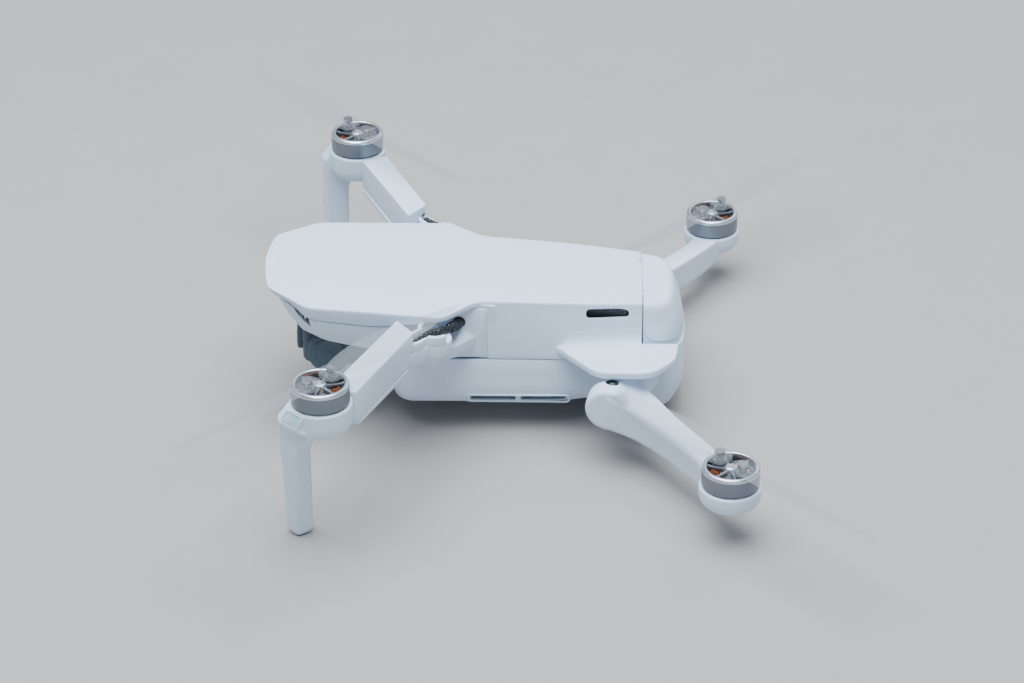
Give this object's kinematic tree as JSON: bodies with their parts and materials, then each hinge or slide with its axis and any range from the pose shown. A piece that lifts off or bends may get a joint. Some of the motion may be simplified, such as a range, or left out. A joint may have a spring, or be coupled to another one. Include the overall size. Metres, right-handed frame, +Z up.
{
  "type": "folding camera drone",
  "caption": "Palm-size folding camera drone with slim arms, landing legs, gimbal camera under the nose, folding propellers and a tail battery door.",
  "frame": {"origin": "on the ground under the middle of the unfolded drone, midway between front and rear motors", "axes": "+Z up, nose towards -Y, the drone's own left towards +X"},
  "size_m": [0.2618, 0.2074, 0.0588],
  "materials": {
    "shell_white": "fine satin moulded plastic, pale cool grey-white",
    "arm_white": "fine satin moulded plastic, slightly greyer than the shells",
    "cover_white": "satin moulded plastic",
    "vent_black": "black perforated mesh",
    "gimbal_slate": "dark slate satin",
    "lens_glass": "black glossy window",
    "led_window": "translucent grey-blue window",
    "cable_black": "black braided sleeve",
    "pin_steel": "bright steel",
    "motor_bell": "dark grey anodised side with a bright machined rim",
    "copper_winding": "enamelled copper coils on a steel core",
    "blade_smoke": "smoke-grey moulded plastic",
    "board_green": "circuit board",
    "heat_sink_alloy": "bare finned alloy",
    "battery_grey": "dark grey battery case",
    "button_grey": "grey button"
  },
  "bodies": {
    "airframe": {"upper_shell": "shell_white", "nose_shell": "shell_white", "belly_shell": "shell_white", "hinge_panel_left": "cover_white", "hinge_panel_right": "cover_white", "intake_grille": "vent_black", "side_vent_left": "vent_black", "side_vent_right": "vent_black", "main_board": "board_green", "heat_sink": "heat_sink_alloy", "sensor_window": "lens_glass", "usb_socket": "pin_steel", "gimbal_damper_plate": "gimbal_slate", "hinge_pin_front_left": "pin_steel", "hinge_pin_front_right": "pin_steel", "hinge_pin_rear_left": "pin_steel", "hinge_pin_rear_right": "pin_steel", "arm_cable_left": "cable_black", "arm_cable_right": "cable_black"},
    "battery_door": {"battery_door": "shell_white"},
    "battery": {"battery": "battery_grey"},
    "power_button": {"power_button": "button_grey"},
    "gimbal_yaw": {"gimbal_yaw_arm": "gimbal_slate"},
    "gimbal_roll": {"gimbal_roll_arm": "gimbal_slate"},
    "camera": {"camera_body": "gimbal_slate", "camera_lens": "lens_glass"},
    "rear_arm_left": {"arm_rear_left": "arm_white", "motor_stator_rear_left": "copper_winding"},
    "front_arm_left": {"arm_front_left": "arm_white", "arm_cover_front_left": "cover_white", "led_window_left": "led_window", "motor_stator_front_left": "copper_winding"},
    "rotor_front_left": {"motor_bell_front_left": "motor_bell", "blade_screw_front_left_outer": "pin_steel", "blade_screw_front_left_inner": "pin_steel"},
    "blade_front_left_outer": {"blade_front_left_outer": "blade_smoke"},
    "blade_front_left_inner": {"blade_front_left_inner": "blade_smoke"},
    "rotor_rear_left": {"motor_bell_rear_left": "motor_bell", "blade_screw_rear_left_outer": "pin_steel", "blade_screw_rear_left_inner": "pin_steel"},
    "blade_rear_left_outer": {"blade_rear_left_outer": "blade_smoke"},
    "blade_rear_left_inner": {"blade_rear_left_inner": "blade_smoke"},
    "rear_arm_right": {"arm_rear_right": "arm_white", "motor_stator_rear_right": "copper_winding"},
    "front_arm_right": {"arm_front_right": "arm_white", "arm_cover_front_right": "cover_white", "led_window_right": "led_window", "motor_stator_front_right": "copper_winding"},
    "rotor_front_right": {"motor_bell_front_right": "motor_bell", "blade_screw_front_right_outer": "pin_steel", "blade_screw_front_right_inner": "pin_steel"},
    "blade_front_right_outer": {"blade_front_right_outer": "blade_smoke"},
    "blade_front_right_inner": {"blade_front_right_inner": "blade_smoke"},
    "rotor_rear_right": {"motor_bell_rear_right": "motor_bell", "blade_screw_rear_right_outer": "pin_steel", "blade_screw_rear_right_inner": "pin_steel"},
    "blade_rear_right_outer": {"blade_rear_right_outer": "blade_smoke"},
    "blade_rear_right_inner": {"blade_rear_right_inner": "blade_smoke"}
  },
  "joints": [
    {"name": "battery_door_open", "type": "hinge", "parent": "airframe", "child": "battery_door", "pos_m": [0, 0.051, 0.0296], "axis": [-1, 0, 0], "range_deg": [0, 85]},
    {"name": "battery_eject", "type": "slide", "parent": "airframe", "child": "battery", "axis": [0, 1, 0], "range_m": [0, 0.01]},
    {"name": "power_button_press", "type": "slide", "parent": "airframe", "child": "power_button", "axis": [0, 0, 1], "range_m": [0, 0.0006], "stiffness_N_per_m": 600},
    {"name": "gimbal_pan", "type": "hinge", "parent": "airframe", "child": "gimbal_yaw", "pos_m": [0, -0.056, 0.04], "axis": [0, 0, 1], "range_deg": [-20, 20]},
    {"name": "gimbal_roll", "type": "hinge", "parent": "gimbal_yaw", "child": "gimbal_roll", "pos_m": [0, -0.0502, 0.0232], "axis": [0, 1, 0], "range_deg": [-30, 30]},
    {"name": "gimbal_tilt", "type": "hinge", "parent": "gimbal_roll", "child": "camera", "pos_m": [0, -0.0665, 0.0232], "axis": [-1, 0, 0], "range_deg": [-90, 25]},
    {"name": "rear_arm_fold_left", "type": "hinge", "parent": "airframe", "child": "rear_arm_left", "pos_m": [0.04, 0.027, 0.0196], "axis": [-0.8838, 0.4679, 0], "range_deg": [0, 180]},
    {"name": "front_arm_fold_left", "type": "hinge", "parent": "airframe", "child": "front_arm_left", "pos_m": [0.034, -0.0305, 0.04], "axis": [0, 0, 1], "range_deg": [0, 113], "deforming": ["arm_cable_left"]},
    {"name": "motor_spin_front_left", "type": "hinge", "parent": "front_arm_left", "child": "rotor_front_left", "pos_m": [0.0864, -0.063, 0.0526], "axis": [0, 0, 1], "continuous": true},
    {"name": "blade_swing_front_left_outer", "type": "hinge", "parent": "rotor_front_left", "child": "blade_front_left_outer", "pos_m": [0.09009, -0.06638, 0.0566], "axis": [0, 0, 1], "range_deg": [-85, 5]},
    {"name": "blade_swing_front_left_inner", "type": "hinge", "parent": "rotor_front_left", "child": "blade_front_left_inner", "pos_m": [0.08271, -0.05962, 0.0566], "axis": [0, 0, -1], "range_deg": [-85, 5]},
    {"name": "motor_spin_rear_left", "type": "hinge", "parent": "rear_arm_left", "child": "rotor_rear_left", "pos_m": [0.0846, 0.063, 0.0229], "axis": [0, 0, 1], "continuous": true},
    {"name": "blade_swing_rear_left_outer", "type": "hinge", "parent": "rotor_rear_left", "child": "blade_rear_left_outer", "pos_m": [0.08829, 0.06638, 0.0269], "axis": [0, 0, 1], "range_deg": [-85, 5]},
    {"name": "blade_swing_rear_left_inner", "type": "hinge", "parent": "rotor_rear_left", "child": "blade_rear_left_inner", "pos_m": [0.08091, 0.05962, 0.0269], "axis": [0, 0, -1], "range_deg": [-85, 5]},
    {"name": "rear_arm_fold_right", "type": "hinge", "parent": "airframe", "child": "rear_arm_right", "pos_m": [-0.04, 0.027, 0.0196], "axis": [-0.8838, -0.4679, 0], "range_deg": [0, 180]},
    {"name": "front_arm_fold_right", "type": "hinge", "parent": "airframe", "child": "front_arm_right", "pos_m": [-0.034, -0.0305, 0.04], "axis": [0, 0, -1], "range_deg": [0, 113], "deforming": ["arm_cable_right"]},
    {"name": "motor_spin_front_right", "type": "hinge", "parent": "front_arm_right", "child": "rotor_front_right", "pos_m": [-0.0864, -0.063, 0.0526], "axis": [0, 0, 1], "continuous": true},
    {"name": "blade_swing_front_right_outer", "type": "hinge", "parent": "rotor_front_right", "child": "blade_front_right_outer", "pos_m": [-0.09009, -0.06638, 0.0566], "axis": [0, 0, -1], "range_deg": [-85, 5]},
    {"name": "blade_swing_front_right_inner", "type": "hinge", "parent": "rotor_front_right", "child": "blade_front_right_inner", "pos_m": [-0.08271, -0.05962, 0.0566], "axis": [0, 0, 1], "range_deg": [-85, 5]},
    {"name": "motor_spin_rear_right", "type": "hinge", "parent": "rear_arm_right", "child": "rotor_rear_right", "pos_m": [-0.0846, 0.063, 0.0229], "axis": [0, 0, 1], "continuous": true},
    {"name": "blade_swing_rear_right_outer", "type": "hinge", "parent": "rotor_rear_right", "child": "blade_rear_right_outer", "pos_m": [-0.08829, 0.06638, 0.0269], "axis": [0, 0, -1], "range_deg": [-85, 5]},
    {"name": "blade_swing_rear_right_inner", "type": "hinge", "parent": "rotor_rear_right", "child": "blade_rear_right_inner", "pos_m": [-0.08091, 0.05962, 0.0269], "axis": [0, 0, 1], "range_deg": [-85, 5]}
  ],
  "couplings": [
    {"joint": "battery_door_open", "follows": "battery_eject", "rad_per_m": 148.35},
    {"joint": "front_arm_fold_left", "follows": "rear_arm_fold_left", "ratio": 0.62778},
    {"joint": "front_arm_fold_right", "follows": "rear_arm_fold_right", "ratio": 0.62778}
  ]
}
